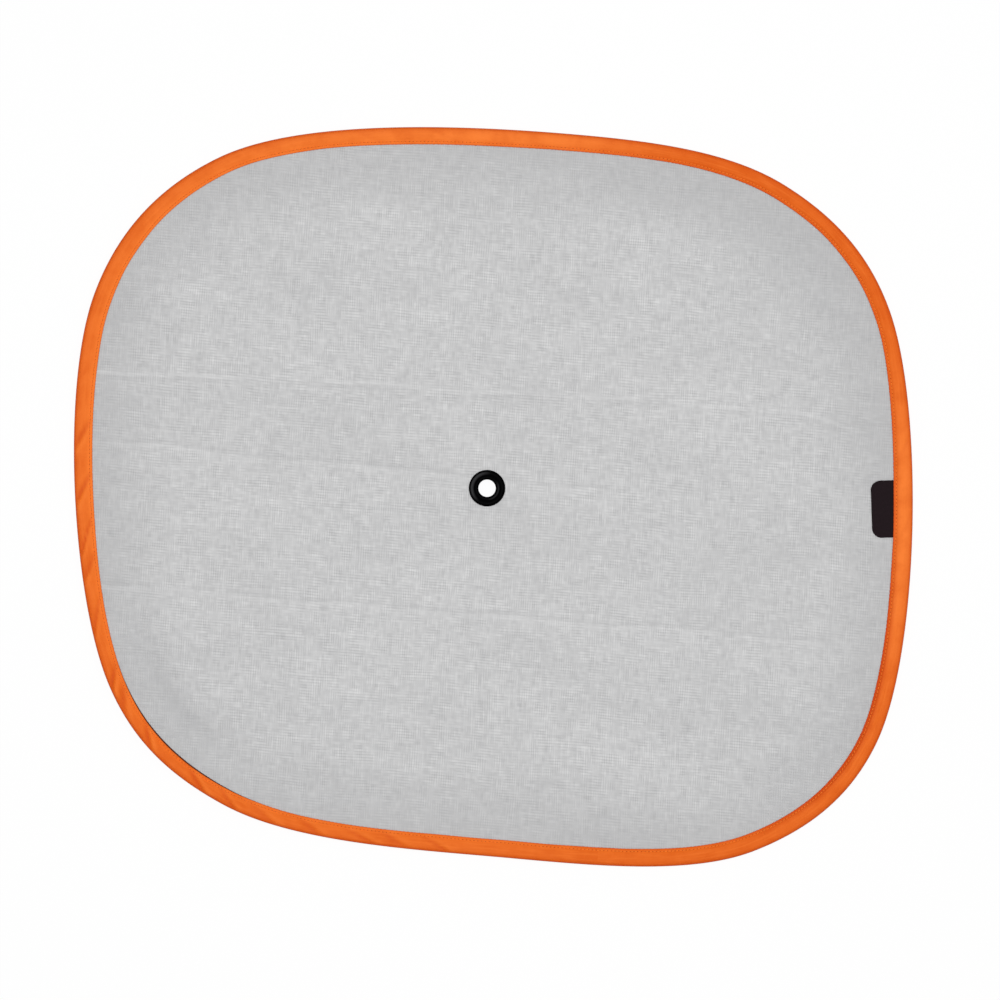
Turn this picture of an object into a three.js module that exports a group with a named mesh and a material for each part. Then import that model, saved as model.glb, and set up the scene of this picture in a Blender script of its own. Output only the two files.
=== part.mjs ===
// A twist-fold sunshade for a car's side window, lying flat with its room side up.
// A spring-steel hoop runs in the fold of a cloth binding, the binding holds a mesh panel taut,
// and a two-part eyelet in the middle of the mesh takes the neck of a suction cup.
// Millimetres, +Z up. The origin is on the surface below the middle of the shade, +X is its length.
import * as THREE from 'three';

// The whole shade, edge to edge
const LENGTH = 440;
const WIDTH = 379;

// The hoop's form: points on its edge from the lower right corner, anticlockwise,
// as shares of half the length and half the width
const HOOP_FORM = [
  [0.950, -0.606],
  [0.911, 0.568],
  [0.639, 0.900],
  [0.127, 0.999],
  [-0.700, 0.868],
  [-0.973, 0.469],
  [-0.874, -0.599],
  [-0.585, -0.905],
  [0.054, -0.996],
  [0.678, -0.930],
];
const HOOP_STATIONS = 96;

// Steel hoop and the sleeve that joins its two ends
const WIRE_RADIUS = 0.6;
const WIRE_END_GAP = 0.6;
const WIRE_SIDES = 8;
const SLEEVE_CLEARANCE = 0.25;
const SLEEVE_WALL = 0.3;
const SLEEVE_LENGTH = 16;
const SLEEVE_SIDES = 16;

// Cloth binding, folded over the hoop and sewn down on both faces of the mesh
const BINDING_WIDTH = 9.2;
const TAPE_THICKNESS = 0.4;
const CHANNEL_CLEARANCE = 0.25;
const STITCH_TO_EDGE = 1.6;
const FOLD_STEPS = 6;

// Mesh panel, and the clearance between layers that are sewn or pressed together
const MESH_THICKNESS = 0.4;
const MESH_TO_SLEEVE = 0.65;
const LAYER_CLEARANCE = 0.3;

// Two rows of seam thread
const THREAD_RADIUS = 0.15;
const THREAD_SIDES = 6;

// Label caught under the binding's upper leg
const LABEL_LENGTH = 30;
const LABEL_SHOWN = 11.8;
const LABEL_PAST_STITCHES = 2;
const LABEL_THICKNESS = 0.3;
const LABEL_CORNER = 4.4;
const LABEL_ABOVE_MIDDLE = 6;
const LABEL_RISE_LENGTH = 18;

// Eyelet
const EYELET_X = -3;
const EYELET_Y = 2.5;
const BORE_RADIUS = 4.5;
const BARREL_WALL = 0.8;
const FUNNEL_WIDTH = 1.7;
const CROWN_WIDTH = 1.6;
const SHOULDER_WIDTH = 1.7;
const FLANGE_HEIGHT = 1.2;
const FLANGE_EDGE = 0.3;
const BACK_RING_THICKNESS = 1;
const BACK_RING_BEVEL = 0.4;
const BARREL_CLEARANCE = 0.25;
const ROUND_STEPS = 5;
const EYELET_SIDES = 40;

// Sizes that follow from those above
const SLEEVE_BORE_RADIUS = WIRE_RADIUS + SLEEVE_CLEARANCE;
const SLEEVE_RADIUS = SLEEVE_BORE_RADIUS + SLEEVE_WALL;
const CHANNEL_RADIUS = SLEEVE_RADIUS + CHANNEL_CLEARANCE;
const FOLD_RADIUS = CHANNEL_RADIUS + TAPE_THICKNESS;
const MIDDLE_HEIGHT = FOLD_RADIUS;
const STITCH_INSET = BINDING_WIDTH - STITCH_TO_EDGE;
const SEAM_HALF = MESH_THICKNESS / 2 + LAYER_CLEARANCE;
const THREAD_HEIGHT = SEAM_HALF + TAPE_THICKNESS + LAYER_CLEARANCE + THREAD_RADIUS;
const MESH_INSET = FOLD_RADIUS + SLEEVE_RADIUS + MESH_TO_SLEEVE;
const BARREL_RADIUS = BORE_RADIUS + BARREL_WALL;
const FUNNEL_RADIUS = BORE_RADIUS + FUNNEL_WIDTH;
const CROWN_RADIUS = FUNNEL_RADIUS + CROWN_WIDTH;
const FLANGE_RADIUS = CROWN_RADIUS + SHOULDER_WIDTH;

// Materials
const steel = new THREE.MeshStandardMaterial({ color: 0x8c9096, roughness: 0.35, metalness: 1 });
const orangeTape = new THREE.MeshStandardMaterial({ color: 0xe66c24, roughness: 0.7, metalness: 0 });
const orangeThread = new THREE.MeshStandardMaterial({ color: 0xf08238, roughness: 0.6, metalness: 0 });
const greyMesh = new THREE.MeshStandardMaterial({ color: 0xc6c6c6, roughness: 0.9, metalness: 0 });
const blackPlastic = new THREE.MeshStandardMaterial({ color: 0x121212, roughness: 0.35, metalness: 0 });
const blackLabel = new THREE.MeshStandardMaterial({ color: 0x241a1d, roughness: 0.6, metalness: 0 });

// Stations evenly spaced along the shade's edge, each with its directions along and into the shade.
// The curve through the form's points is stretched until it has exactly the stated length and width.
function makeStations() {
  const corners = HOOP_FORM.map(([x, y]) => new THREE.Vector3((x * LENGTH) / 2, (y * WIDTH) / 2, 0));
  const curve = new THREE.CatmullRomCurve3(corners, true, 'centripetal');
  const points = curve.getSpacedPoints(HOOP_STATIONS).slice(0, HOOP_STATIONS);
  const box = new THREE.Box3().setFromPoints(points);
  const middle = box.getCenter(new THREE.Vector3());
  const size = box.getSize(new THREE.Vector3());
  const stretch = new THREE.Vector3(LENGTH / size.x, WIDTH / size.y, 1);
  points.forEach((point) => point.sub(middle).multiply(stretch));
  return points.map((point, i) => {
    const before = points.at(i - 1);
    const after = points[(i + 1) % HOOP_STATIONS];
    const along = after.clone().sub(before).normalize();
    const inward = new THREE.Vector3(-along.y, along.x, 0);
    return { point, along, inward };
  });
}

const stations = makeStations();

// A point at a station, so far in from the edge and so far above or below the mesh's middle
function seat(station, inset, height) {
  const point = station.point.clone().addScaledVector(station.inward, inset);
  point.z = MIDDLE_HEIGHT + height;
  return point;
}

function nearest(places, target) {
  const distances = places.map((place) => place.point.distanceTo(target));
  return places[distances.indexOf(Math.min(...distances))];
}

// The place on the edge, between two stations, that is nearest to a point
function placeOnEdge(target) {
  const places = stations.map((station, i) => {
    const span = new THREE.Line3(station.point, stations[(i + 1) % HOOP_STATIONS].point);
    const point = span.closestPointToPoint(target, true, new THREE.Vector3());
    const along = span.delta(new THREE.Vector3()).normalize();
    return { point, along, inward: new THREE.Vector3(-along.y, along.x, 0) };
  });
  return nearest(places, target);
}

const labelPlace = placeOnEdge(new THREE.Vector3(LENGTH / 2, LABEL_ABOVE_MIDDLE, 0));
const joinStation = nearest(stations, new THREE.Vector3(0, -WIDTH / 2, 0));
const stationSpacing = stations[0].point.distanceTo(stations[1].point);

// How far the binding's upper leg is lifted to let the label in under it
function labelRise(station) {
  const distance = station.point.distanceTo(labelPlace.point);
  const full = LABEL_LENGTH / 2 + stationSpacing;
  const share = 1 - THREE.MathUtils.smoothstep(distance, full, full + LABEL_RISE_LENGTH);
  return share * (LABEL_THICKNESS + LAYER_CLEARANCE);
}

function solid(positions, index) {
  const geometry = new THREE.BufferGeometry();
  geometry.setAttribute('position', new THREE.Float32BufferAttribute(positions, 3));
  geometry.setIndex(index);
  geometry.computeVertexNormals();
  return geometry;
}

// Joins a row of rings, each with the same number of corners, into a skin.
// A closed row ends where it starts, and an open one gets a flat cap at each end.
function sweep(rings, closed) {
  const corners = rings[0].length;
  const index = [];
  const spans = closed ? rings.length : rings.length - 1;
  for (let ring = 0; ring < spans; ring += 1) {
    const here = ring * corners;
    const there = ((ring + 1) % rings.length) * corners;
    for (let corner = 0; corner < corners; corner += 1) {
      const next = (corner + 1) % corners;
      index.push(here + corner, here + next, there + next);
      index.push(here + corner, there + next, there + corner);
    }
  }
  if (!closed) {
    const last = (rings.length - 1) * corners;
    for (let corner = 1; corner < corners - 1; corner += 1) {
      index.push(0, corner + 1, corner);
      index.push(last, last + corner, last + corner + 1);
    }
  }
  return solid(rings.flat().flatMap((point) => point.toArray()), index);
}

// A round section's ring of corners at a station
function roundRing(station, inset, height, radius, sides) {
  return Array.from({ length: sides }, (_, i) => {
    const turn = (i * 2 * Math.PI) / sides;
    return seat(station, inset + radius * Math.cos(turn), height + radius * Math.sin(turn));
  });
}

// One face of the folded binding, from its upper edge over the hoop to its lower edge:
// inset and height of each corner, for a fold of this radius and legs this far from the middle
function foldLine(radius, legHeight, rise) {
  const fold = Array.from({ length: FOLD_STEPS + 1 }, (_, i) => {
    const turn = (i * Math.PI) / FOLD_STEPS;
    return [FOLD_RADIUS - radius * Math.sin(turn), radius * Math.cos(turn)];
  });
  return [
    [BINDING_WIDTH, legHeight + rise],
    [STITCH_INSET, legHeight + rise],
    ...fold,
    [STITCH_INSET, -legHeight],
    [BINDING_WIDTH, -legHeight],
  ];
}

function makeBinding() {
  const rings = stations.map((station) => {
    const rise = labelRise(station);
    const outside = foldLine(FOLD_RADIUS, SEAM_HALF + TAPE_THICKNESS, rise);
    const inside = foldLine(CHANNEL_RADIUS, SEAM_HALF, rise).reverse();
    return [...outside, ...inside].map(([inset, height]) => seat(station, inset, height));
  });
  return new THREE.Mesh(sweep(rings, true), orangeTape);
}

// The wire runs once round the shade, and its two ends meet in the sleeve
function makeWire() {
  const start = stations.indexOf(joinStation);
  const between = stations.slice(start + 1).concat(stations.slice(0, start));
  const end = (offset) => ({
    point: joinStation.point.clone().addScaledVector(joinStation.along, offset),
    inward: joinStation.inward,
  });
  const route = [end(WIRE_END_GAP / 2), ...between, end(-WIRE_END_GAP / 2)];
  const rings = route.map((station) => roundRing(station, FOLD_RADIUS, 0, WIRE_RADIUS, WIRE_SIDES));
  return new THREE.Mesh(sweep(rings, false), steel);
}

function makeSleeve() {
  const half = SLEEVE_LENGTH / 2;
  const profile = [
    new THREE.Vector2(SLEEVE_BORE_RADIUS, -half),
    new THREE.Vector2(SLEEVE_RADIUS, -half),
    new THREE.Vector2(SLEEVE_RADIUS, half),
    new THREE.Vector2(SLEEVE_BORE_RADIUS, half),
    new THREE.Vector2(SLEEVE_BORE_RADIUS, -half),
  ];
  const sleeve = new THREE.Mesh(new THREE.LatheGeometry(profile, SLEEVE_SIDES), steel);
  sleeve.quaternion.setFromUnitVectors(new THREE.Vector3(0, 1, 0), joinStation.along);
  sleeve.position.copy(seat(joinStation, FOLD_RADIUS, 0));
  return sleeve;
}

function makeMeshPanel() {
  const edge = stations.map((station) => seat(station, MESH_INSET, 0));
  const shape = new THREE.Shape(edge.map((point) => new THREE.Vector2(point.x, point.y)));
  const hole = new THREE.Path();
  hole.absarc(EYELET_X, EYELET_Y, BARREL_RADIUS + LAYER_CLEARANCE, 0, 2 * Math.PI, true);
  shape.holes.push(hole);
  const geometry = new THREE.ExtrudeGeometry(shape, {
    depth: MESH_THICKNESS,
    bevelEnabled: false,
    curveSegments: EYELET_SIDES / 2,
  });
  const panel = new THREE.Mesh(geometry, greyMesh);
  panel.position.z = MIDDLE_HEIGHT - MESH_THICKNESS / 2;
  return panel;
}

// One row of thread along the seam: above the binding with side 1, below it with side -1
function makeThread(side) {
  const rings = stations.map((station) => {
    const rise = side > 0 ? labelRise(station) : 0;
    return roundRing(station, STITCH_INSET, side * THREAD_HEIGHT + rise, THREAD_RADIUS, THREAD_SIDES);
  });
  return new THREE.Mesh(sweep(rings, true), orangeThread);
}

// The label's inner corners are round, and its outer edge is sewn in under the binding
function makeLabel() {
  const outer = STITCH_INSET - LABEL_PAST_STITCHES;
  const inner = BINDING_WIDTH + LABEL_SHOWN;
  const half = LABEL_LENGTH / 2;
  const shape = new THREE.Shape();
  shape.moveTo(outer, -half);
  shape.lineTo(inner - LABEL_CORNER, -half);
  shape.absarc(inner - LABEL_CORNER, LABEL_CORNER - half, LABEL_CORNER, -Math.PI / 2, 0, false);
  shape.absarc(inner - LABEL_CORNER, half - LABEL_CORNER, LABEL_CORNER, 0, Math.PI / 2, false);
  shape.lineTo(outer, half);
  const geometry = new THREE.ExtrudeGeometry(shape, {
    depth: LABEL_THICKNESS,
    bevelEnabled: false,
    curveSegments: ROUND_STEPS,
  });
  const label = new THREE.Mesh(geometry, blackLabel);
  label.position.copy(seat(labelPlace, 0, SEAM_HALF));
  label.rotation.z = Math.atan2(labelPlace.inward.y, labelPlace.inward.x);
  return label;
}

// A quarter of an ellipse between two points of a turned profile, leaving the first one along Y
function roundedCorner(from, to) {
  return Array.from({ length: ROUND_STEPS + 1 }, (_, i) => {
    const turn = (i * Math.PI) / 2 / ROUND_STEPS;
    const x = to.x + (from.x - to.x) * Math.cos(turn);
    const y = from.y + (to.y - from.y) * Math.sin(turn);
    return new THREE.Vector2(x, y);
  });
}

// Turns a profile drawn as radius and height into a solid that stands on the Z axis
function turned(profile, material) {
  const geometry = new THREE.LatheGeometry([...profile, profile[0]], EYELET_SIDES);
  geometry.rotateX(Math.PI / 2);
  const mesh = new THREE.Mesh(geometry, material);
  mesh.position.set(EYELET_X, EYELET_Y, MIDDLE_HEIGHT);
  return mesh;
}

// Front half of the eyelet: a domed flange on the mesh, a funnel into the bore, and the barrel
function makeEyeletFront() {
  const seatHeight = SEAM_HALF;
  const edgeTop = seatHeight + FLANGE_EDGE;
  const crown = seatHeight + FLANGE_HEIGHT;
  const barrelEnd = -SEAM_HALF - BACK_RING_THICKNESS;
  const outerShoulder = roundedCorner(
    new THREE.Vector2(FLANGE_RADIUS, edgeTop),
    new THREE.Vector2(CROWN_RADIUS, crown),
  );
  const funnel = roundedCorner(
    new THREE.Vector2(BORE_RADIUS, seatHeight),
    new THREE.Vector2(FUNNEL_RADIUS, crown),
  );
  const profile = [
    new THREE.Vector2(BORE_RADIUS, barrelEnd),
    new THREE.Vector2(BARREL_RADIUS, barrelEnd),
    new THREE.Vector2(BARREL_RADIUS, seatHeight),
    new THREE.Vector2(FLANGE_RADIUS, seatHeight),
    ...outerShoulder,
    ...funnel.reverse(),
  ];
  return turned(profile, blackPlastic);
}

// Back half of the eyelet: a flat ring with bevelled edges, pushed onto the barrel
function makeEyeletBack() {
  const top = -SEAM_HALF;
  const bottom = top - BACK_RING_THICKNESS;
  const bore = BARREL_RADIUS + BARREL_CLEARANCE;
  const profile = [
    new THREE.Vector2(bore, bottom),
    new THREE.Vector2(FLANGE_RADIUS - BACK_RING_BEVEL, bottom),
    new THREE.Vector2(FLANGE_RADIUS, bottom + BACK_RING_BEVEL),
    new THREE.Vector2(FLANGE_RADIUS, top),
    new THREE.Vector2(bore, top),
  ];
  return turned(profile, blackPlastic);
}

const sunshade = new THREE.Group();

function add(name, mesh) {
  mesh.name = name;
  sunshade.add(mesh);
}

add('mesh_panel', makeMeshPanel());
add('edge_binding', makeBinding());
add('hoop_wire', makeWire());
add('wire_joint_sleeve', makeSleeve());
add('seam_thread_front', makeThread(1));
add('seam_thread_back', makeThread(-1));
add('side_label', makeLabel());
add('eyelet_front', makeEyeletFront());
add('eyelet_back_ring', makeEyeletBack());

export default sunshade;
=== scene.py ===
import math

import bpy
import numpy as np
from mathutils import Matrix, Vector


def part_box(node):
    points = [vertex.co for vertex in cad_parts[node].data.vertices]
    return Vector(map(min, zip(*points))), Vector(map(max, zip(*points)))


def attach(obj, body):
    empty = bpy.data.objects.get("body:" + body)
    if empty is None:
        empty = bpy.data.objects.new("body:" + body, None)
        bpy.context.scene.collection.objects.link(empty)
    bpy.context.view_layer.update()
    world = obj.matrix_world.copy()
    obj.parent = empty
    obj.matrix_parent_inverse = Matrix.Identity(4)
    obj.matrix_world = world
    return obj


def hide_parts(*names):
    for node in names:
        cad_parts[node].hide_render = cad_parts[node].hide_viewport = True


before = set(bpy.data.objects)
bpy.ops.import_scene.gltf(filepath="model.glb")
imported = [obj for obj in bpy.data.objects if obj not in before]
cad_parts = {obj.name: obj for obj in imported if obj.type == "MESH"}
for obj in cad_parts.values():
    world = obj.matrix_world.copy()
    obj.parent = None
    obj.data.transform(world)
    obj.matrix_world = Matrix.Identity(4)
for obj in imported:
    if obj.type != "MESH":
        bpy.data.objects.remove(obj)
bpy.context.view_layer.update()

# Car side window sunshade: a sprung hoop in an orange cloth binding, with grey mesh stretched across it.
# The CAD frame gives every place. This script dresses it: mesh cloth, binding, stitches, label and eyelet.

MM = 0.001

# The hoop's form: shares of half its length and half its width, anticlockwise from the lower right.
HOOP_FORM = (
    (0.950, -0.606),
    (0.911, 0.568),
    (0.639, 0.900),
    (0.127, 0.999),
    (-0.700, 0.868),
    (-0.973, 0.469),
    (-0.874, -0.599),
    (-0.585, -0.905),
    (0.054, -0.996),
    (0.678, -0.930),
)
STEPS_BETWEEN_POINTS = 200

# The binding is a tape folded round the hoop. Widths, and the painted sheen that makes the satin paler or
# deeper by the way it runs, are given every 30 degrees from +X.
TAPE_WIDTHS = (10.0, 8.3, 8.5, 9.0, 8.9, 9.8, 9.7, 8.5, 8.5, 9.0, 9.2, 9.6)
TAPE_SHEENS = (1.0, 0.15, 0.05, 0.95, 0.65, 0.45, 0.50, 0.28, 0.27, 0.32, 0.18, 0.22)
# Painted shade and light beside the seam: above 0 painted shade as deep as that, below 0 painted light as
# pale as that.
SEAM_SHADE_AND_LIGHT = (0.5, 0.2, 0.2, 0.2, -0.15, -0.5, -0.6, -0.5, -0.35, -0.2, 0.0, 1.0)
TAPE_THICKNESS = 0.35 * MM
FOLD_RADIUS = 1.8 * MM
SEAM_TO_EDGE = 1.4 * MM
SEAM_LIFT = 0.45 * MM
BACK_WIDTH = 9.2 * MM
TAPE_LAP = 9.0 * MM
LAP_STEP = 0.15 * MM
TAPE_JOINT_X = 68.0 * MM

STITCH_PITCH = 2.0 * MM
STITCH_LENGTH = 1.25 * MM
STITCH_ARCH = 0.12 * MM
STITCH_SLANT = math.radians(7.0)
STITCH_SLANT_SPREAD = math.radians(5.0)
STATIONS_PER_STITCH = 4
THREAD_RADIUS = 0.22 * MM

# Places round the hoop are turns in degrees from +X, each with how far it spreads.
# The lower left, where the mesh sags beside the loose tape, and the tape's lip, the hem, stands up.
LOOSE_TURN = 215.0
LOOSE_SPREAD = 26.0
LOOSE_SAG = 0.75 * MM
HEM_TURN = 223.0
HEM_SPREAD = 11.0
LIP_LIFT = 0.5 * MM
HEM_SHOWN = 0.7 * MM
# The right, where the tape puffs up beside its seam.
PUFFED_TURN = 345.0
PUFFED_SPREAD = 55.0
# The upper right, where the mesh is painted darker as the shade of its undulations.
SHADED_CORNER_TURN = 50.0
SHADED_CORNER_SPREAD = 36.0
SHADED_CORNER_SHADE = 0.20
# Painted shade along the lower left seam, in the mesh's sag beside the loose tape.
SAG_SHADE_TURN = 217.0
SAG_SHADE_SPREAD = 10.0
SAG_SHADE_DEPTH = 0.46
SAG_SHADE_INSET = 23.0 * MM
SAG_SHADE_WIDTH = 5.0 * MM

MESH_INSET = 3.6 * MM
MESH_THICKNESS = 0.4 * MM
SPOKES = 420
RINGS = 60

CAMERA_LENS = 100.0
CAMERA_SENSOR = 36.0
PHOTO_WIDTH = 0.5207
PHOTO_CENTRE = (0.00415, -0.00330)
PHOTO_TURN = math.radians(4.0)

BINDING_LOW, BINDING_HIGH = (np.array(corner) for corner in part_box("edge_binding"))
MIDDLE_HEIGHT = BINDING_LOW[2] + FOLD_RADIUS
EYELET_LOW, EYELET_HIGH = (np.array(corner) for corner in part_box("eyelet_front"))
EYELET_DROP = 0.15 * MM
EYELET_CENTRE = (EYELET_LOW[:2] + EYELET_HIGH[:2]) / 2 - (0.0, EYELET_DROP)
EYELET_STEPS = 112
EYELET_LIP_RADIUS = 6.0 * MM
EYELET_CROWN_RADIUS = 7.8 * MM
HOLE_RADIUS = 5.6 * MM
LABEL_LOW, LABEL_HIGH = (np.array(corner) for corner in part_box("side_label"))


# Shared shapes

def smooth_step(value, low, high):
    share = np.clip((value - low) / (high - low), 0.0, 1.0)
    return share * share * (3.0 - 2.0 * share)


def bell(value, middle, spread):
    return np.exp(-(((value - middle) / spread) ** 2))


def wander(place, length, shortest, seed):
    """A smooth, closed, random course round the hoop, from about -1 to 1."""
    rng = np.random.default_rng(seed)
    total = np.zeros_like(place)
    weight = 0.0
    for turns in range(1, int(length / shortest) + 1, max(1, int(length / shortest / 12))):
        size = 1.0 / math.sqrt(turns)
        total += size * np.sin(2 * math.pi * (turns * place / length + rng.random()))
        weight += size
    return 2.0 * total / weight


def every_thirty_degrees(values, turn):
    """Values given every 30 degrees, blended smoothly in between."""
    values = np.array(values)
    steps = (turn % 360.0) / 30.0
    before = np.floor(steps).astype(int) % len(values)
    after = (before + 1) % len(values)
    share = smooth_step(steps - np.floor(steps), 0.0, 1.0)
    return values[before] * (1.0 - share) + values[after] * share


def closed_curve(points, steps):
    """A closed centripetal Catmull-Rom curve through the points."""
    before, start, end, after = (np.roll(points, shift, axis=0) for shift in (1, 0, -1, -2))
    gap_before, gap, gap_after = (
        np.sqrt(np.linalg.norm(b - a, axis=1, keepdims=True))
        for a, b in ((before, start), (start, end), (end, after))
    )
    leaving = (start - before) / gap_before - (end - before) / (gap_before + gap) + (end - start) / gap
    arriving = (end - start) / gap - (after - start) / (gap + gap_after) + (after - end) / gap_after
    leaving, arriving = leaving * gap, arriving * gap
    share = np.linspace(0.0, 1.0, steps, endpoint=False)[:, None]
    stretches = []
    for k in range(len(points)):
        stretches.append(
            start[k]
            + leaving[k] * share
            + (3 * (end[k] - start[k]) - 2 * leaving[k] - arriving[k]) * share**2
            + (2 * (start[k] - end[k]) + leaving[k] + arriving[k]) * share**3
        )
    return np.concatenate(stretches)


def evenly_spaced(points, count):
    """The closed line again, with its points the same distance apart, and its length."""
    closed = np.vstack([points, points[:1]])
    along = np.concatenate([[0.0], np.cumsum(np.linalg.norm(np.diff(closed, axis=0), axis=1))])
    places = np.linspace(0.0, along[-1], count, endpoint=False)
    spaced = np.stack([np.interp(places, along, closed[:, axis]) for axis in (0, 1)], axis=1)
    return spaced, along[-1]


def hoop_edge(count):
    """The outer edge, anticlockwise from the tape's joint, with its inward directions and its length."""
    reach = BINDING_HIGH[:2] - BINDING_LOW[:2]
    edge = closed_curve(np.array(HOOP_FORM) * reach / 2, STEPS_BETWEEN_POINTS)
    low, high = edge.min(axis=0), edge.max(axis=0)
    edge = BINDING_LOW[:2] + (edge - low) * reach / (high - low)
    lower_side = np.where(edge[:, 1] < 0, np.abs(edge[:, 0] - TAPE_JOINT_X), np.inf)
    edge, length = evenly_spaced(np.roll(edge, -int(np.argmin(lower_side)), axis=0), count)
    along = np.roll(edge, -1, axis=0) - np.roll(edge, 1, axis=0)
    along /= np.linalg.norm(along, axis=1, keepdims=True)
    return edge, np.stack([-along[:, 1], along[:, 0]], axis=1), length


def make_mesh(name, points, faces, material):
    """A smooth-shaded mesh whose faces point outwards, in the scene, at the origin."""
    points = np.asarray(points, dtype=float)
    quads = np.array([face if len(face) == 4 else (*face, face[0]) for face in faces])
    a, b, c, d = (points[quads[:, k]] for k in range(4))
    volume = np.einsum("ij,ij->i", a, np.cross(b, c) + np.cross(c, d)).sum()
    if volume < 0:
        faces = [face[::-1] for face in faces]
    mesh = bpy.data.meshes.new(name)
    mesh.from_pydata(points.tolist(), [], [list(map(int, face)) for face in faces])
    mesh.polygons.foreach_set("use_smooth", [True] * len(mesh.polygons))
    mesh.materials.append(material)
    mesh.update()
    piece = bpy.data.objects.new(name, mesh)
    bpy.context.collection.objects.link(piece)
    return piece


def ring_faces(stations, points_per_ring):
    """Quads of a surface that is closed both along and around."""
    station, point = np.meshgrid(np.arange(stations), np.arange(points_per_ring), indexing="ij")
    next_station = (station + 1) % stations
    next_point = (point + 1) % points_per_ring
    corners = (
        station * points_per_ring + point,
        next_station * points_per_ring + point,
        next_station * points_per_ring + next_point,
        station * points_per_ring + next_point,
    )
    return np.stack([corner.ravel() for corner in corners], axis=1)


def store_on_points(piece, name, values):
    attribute = piece.data.attributes.new(name, "FLOAT", "POINT")
    attribute.data.foreach_set("value", np.asarray(values, dtype=float).ravel())


def turned_piece(name, profile, centre, steps, material):
    """A closed profile of (radius, height) turned round an upright axis."""
    angle = np.linspace(0.0, 2 * math.pi, steps, endpoint=False)
    profile = np.array(profile)
    x = centre[0] + np.outer(np.cos(angle), profile[:, 0])
    y = centre[1] + np.outer(np.sin(angle), profile[:, 0])
    z = np.broadcast_to(profile[:, 1], x.shape)
    points = np.stack([x, y, z], axis=-1).reshape(-1, 3)
    return make_mesh(name, points, ring_faces(steps, len(profile)), material)


def arc(middle, radii, start, end, steps):
    """Points of (radius, height) on an ellipse's arc, by degrees from outwards, anticlockwise."""
    angles = np.radians(np.linspace(start, end, steps))
    return [(middle[0] + radii[0] * math.cos(a), middle[1] + radii[1] * math.sin(a)) for a in angles]


# Materials

class Nodes:
    """A material's node tree, with short calls for the nodes that these finishes use."""

    def __init__(self, name):
        self.material = bpy.data.materials.new(name)
        self.material.use_nodes = True
        self.tree = self.material.node_tree
        self.tree.nodes.clear()
        self.output = self.tree.nodes.new("ShaderNodeOutputMaterial")

    def join(self, value, socket):
        if isinstance(value, bpy.types.NodeSocket):
            self.tree.links.new(value, socket)
        else:
            socket.default_value = value

    def add(self, kind, inputs=(), **settings):
        made = self.tree.nodes.new(kind)
        for name, value in settings.items():
            setattr(made, name, value)
        for name, value in dict(inputs).items():
            self.join(value, made.inputs[name])
        return made

    def math(self, operation, first, second=0.0, third=0.0):
        made = self.tree.nodes.new("ShaderNodeMath")
        made.operation = operation
        for value, socket in zip((first, second, third), made.inputs):
            self.join(value, socket)
        return made.outputs[0]

    def mix(self, share, first, second):
        made = self.add("ShaderNodeMix", data_type="RGBA")
        self.join(share, made.inputs[0])
        self.join(first, made.inputs[6])
        self.join(second, made.inputs[7])
        return made.outputs[2]

    def attribute(self, name):
        return self.add("ShaderNodeAttribute", attribute_name=name)

    def here(self):
        return self.add("ShaderNodeTexCoord").outputs["Object"]

    def dot(self, vector, direction):
        made = self.add("ShaderNodeVectorMath", operation="DOT_PRODUCT")
        self.join(vector, made.inputs[0])
        self.join(direction, made.inputs[1])
        return made.outputs["Value"]

    def vector(self, x, y, z=0.0):
        return self.add("ShaderNodeCombineXYZ", {"X": x, "Y": y, "Z": z}).outputs[0]

    def noise(self, vector, scale, detail=2.0, rough=0.5):
        inputs = {"Vector": vector, "Scale": scale, "Detail": detail, "Roughness": rough}
        return self.add("ShaderNodeTexNoise", inputs, normalize=True).outputs[0]

    def wave(self, place, pitch):
        """From 0 to 1 and back once in each pitch."""
        turned = self.math("MULTIPLY", place, 2 * math.pi / pitch)
        return self.math("MULTIPLY_ADD", self.math("SINE", turned), 0.5, 0.5)

    def ease(self, value, low, high, to_low=0.0, to_high=1.0):
        made = self.add("ShaderNodeMapRange", interpolation_type="SMOOTHSTEP")
        for name, number in (
            ("Value", value),
            ("From Min", low),
            ("From Max", high),
            ("To Min", to_low),
            ("To Max", to_high),
        ):
            self.join(number, made.inputs[name])
        return made.outputs[0]

    def bump(self, height, distance, strength=1.0, under=None):
        made = self.add("ShaderNodeBump", {"Height": height, "Distance": distance, "Strength": strength})
        if under is not None:
            self.join(under, made.inputs["Normal"])
        return made.outputs[0]

    def finish(self, colour, inputs):
        shader = self.add("ShaderNodeBsdfPrincipled", {"Base Color": colour, **inputs})
        self.tree.links.new(shader.outputs[0], self.output.inputs[0])
        return self.material


MESH_PALE = (0.69, 0.69, 0.69, 1.0)
MESH_DARK = (0.39, 0.39, 0.395, 1.0)
WEFT_PITCH = 1.5 * MM
WARP_PITCH = 1.2 * MM
WEFT_LEAN = math.radians(-0.5)
WARP_LEAN = math.radians(91.0)
WEAVE_CONTRAST = 0.54
# Folds from the shade's pouch: the y of each at the left and right side, the x where it ends, and 1 for a
# pale ridge or -1 for a dark one: the ridge painted as highlight and the hollow as shade, each with the other
# beside it.
PRESS_FOLDS = (
    (49.8 * MM, 55.0 * MM, 210.0 * MM, 1.0),
    (13.8 * MM, 3.5 * MM, 85.0 * MM, -1.0),
    (-59.5 * MM, -65.0 * MM, 210.0 * MM, -1.0),
)
FOLD_HEIGHT = 0.22 * MM
FOLD_FADE = 45.0 * MM
# The last stretch of the pale fold, where it turns down to the label.
FOLD_TURNS_AT = 146.0 * MM
FOLD_TURN_RATE = 6.2


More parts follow.
